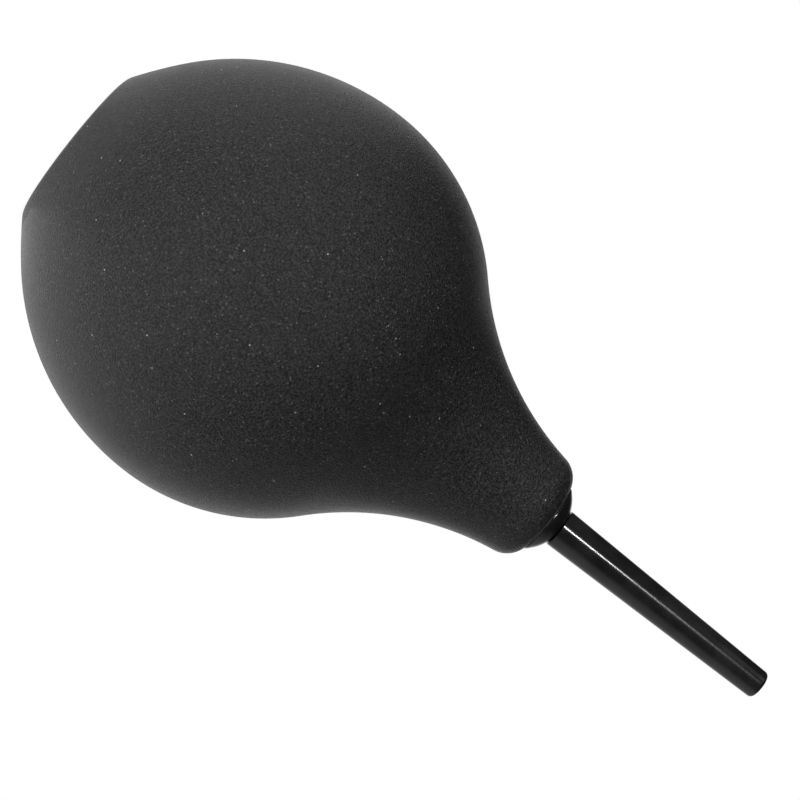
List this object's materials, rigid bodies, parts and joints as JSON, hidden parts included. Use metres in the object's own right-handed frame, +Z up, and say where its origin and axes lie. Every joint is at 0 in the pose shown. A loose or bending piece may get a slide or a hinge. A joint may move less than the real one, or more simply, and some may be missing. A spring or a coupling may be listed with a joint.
{
  "type": "dust blower bulb",
  "caption": "Hand-squeezed dust blower: pear-shaped matte rubber bulb on a flat base with a one-way inlet valve, and a slim tapered screw-in nozzle.",
  "frame": {"origin": "centre of the flat base, on the face the blower stands on", "axes": "+Z up the bulb's axis towards the nozzle tip; -Y is the side the thumb presses, +Y the side the fingers press"},
  "size_m": [0.092, 0.092, 0.1804],
  "materials": {
    "bulb_rubber": "soft-touch matte black with a fine grain",
    "collar_plastic": "glossy black",
    "nozzle_plastic": "semi-gloss black",
    "seal_rubber": "satin black",
    "valve_plastic": "fine-textured black",
    "disc_rubber": "milky silicone",
    "cage_plastic": "natural white, satin"
  },
  "bodies": {
    "bulb": {"bulb_shell": "bulb_rubber", "nozzle_collar": "collar_plastic", "valve_body": "valve_plastic", "valve_cage": "cage_plastic"},
    "thumb_wall": {"thumb_panel": "bulb_rubber"},
    "finger_wall": {"finger_panel": "bulb_rubber"},
    "seal": {"nozzle_seal": "seal_rubber"},
    "tube": {"nozzle": "nozzle_plastic"},
    "inlet_disc": {"valve_disc": "disc_rubber"}
  },
  "joints": [
    {"name": "thumb_squeeze", "type": "slide", "parent": "bulb", "child": "thumb_wall", "axis": [0, 1, 0], "range_m": [0, 0.028], "stiffness_N_per_m": 1000},
    {"name": "finger_squeeze", "type": "slide", "parent": "bulb", "child": "finger_wall", "axis": [0, -1, 0], "range_m": [0, 0.014]},
    {"name": "nozzle_draw", "type": "slide", "parent": "bulb", "child": "seal", "axis": [0, 0, 1], "range_m": [0, 0.008]},
    {"name": "nozzle_unscrew", "type": "hinge", "parent": "seal", "child": "tube", "pos_m": [0, 0, 0.12658], "axis": [0, 0, 1], "range_deg": [0, 1800]},
    {"name": "disc_lift", "type": "slide", "parent": "bulb", "child": "inlet_disc", "axis": [0, 0, 1], "range_m": [0, 0.0012]}
  ],
  "couplings": [
    {"joint": "finger_squeeze", "follows": "thumb_squeeze", "ratio": 0.5},
    {"joint": "nozzle_unscrew", "follows": "nozzle_draw", "rad_per_m": 3927}
  ]
}
